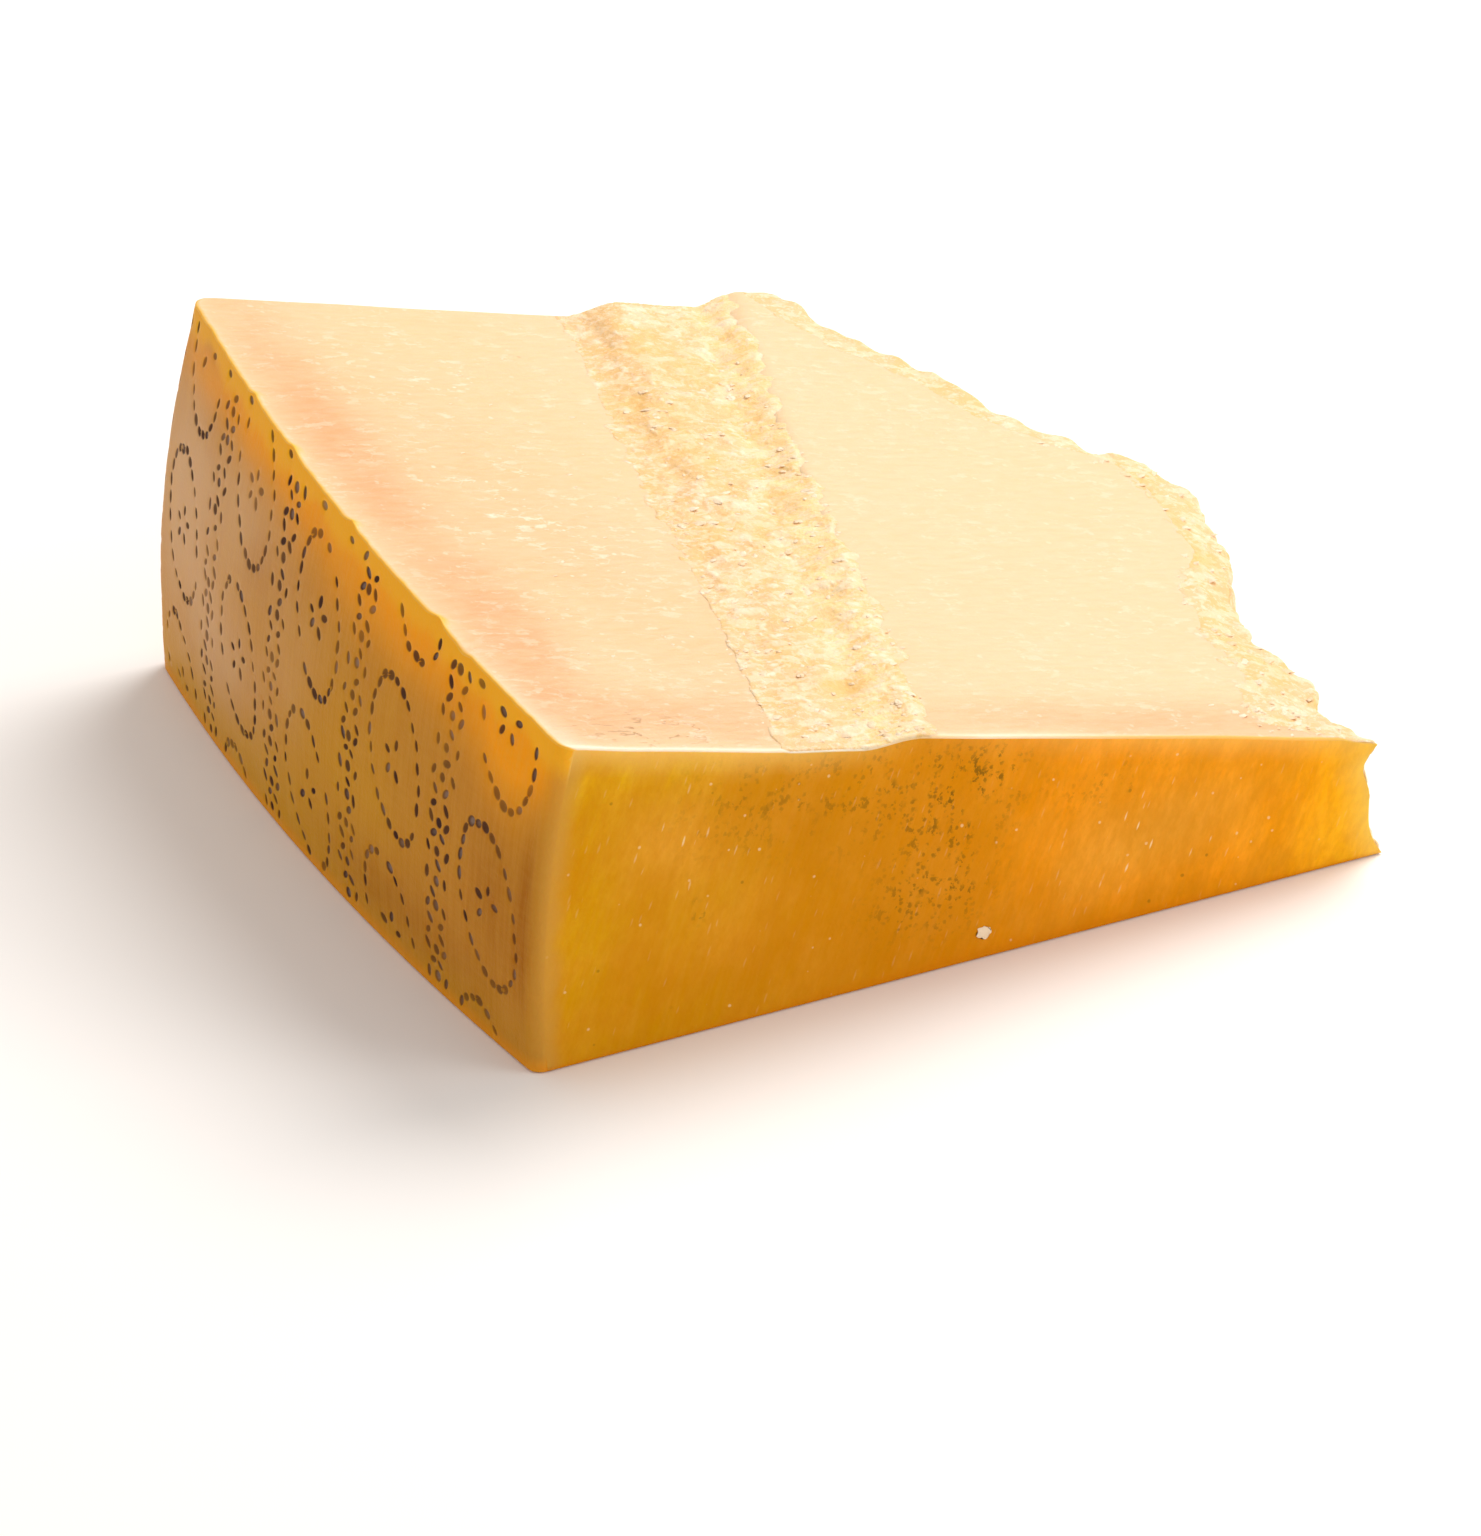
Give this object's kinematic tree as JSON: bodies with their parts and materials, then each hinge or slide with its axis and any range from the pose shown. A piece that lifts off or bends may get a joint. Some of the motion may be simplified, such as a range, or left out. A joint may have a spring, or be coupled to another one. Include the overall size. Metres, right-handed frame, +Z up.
{
  "type": "grana padano cheese",
  "caption": "Wedge of aged hard cheese split from a wheel and lying on its cut, with rind on the curved side and the flat faces, a torn strip across the top and a broken tip.",
  "frame": {"origin": "on the lower cut, under the middle of the wedge's box", "axes": "+X along the wheel's radius from the curved rind to the broken tip, +Y along the wheel's axis from the shown flat face to the hidden one, +Z up from the lower cut"},
  "size_m": [0.2107, 0.19, 0.0814],
  "materials": {
    "paste": "pale warm cream paste of an aged hard cheese: smooth and faintly waxy where the knife went, crumbly and granular where it tore",
    "rind": "ochre brown rind, matt, with fine cloth marks and rows of pricked dots"
  },
  "bodies": {
    "root": {"cheese": "paste"}
  },
  "joints": []
}
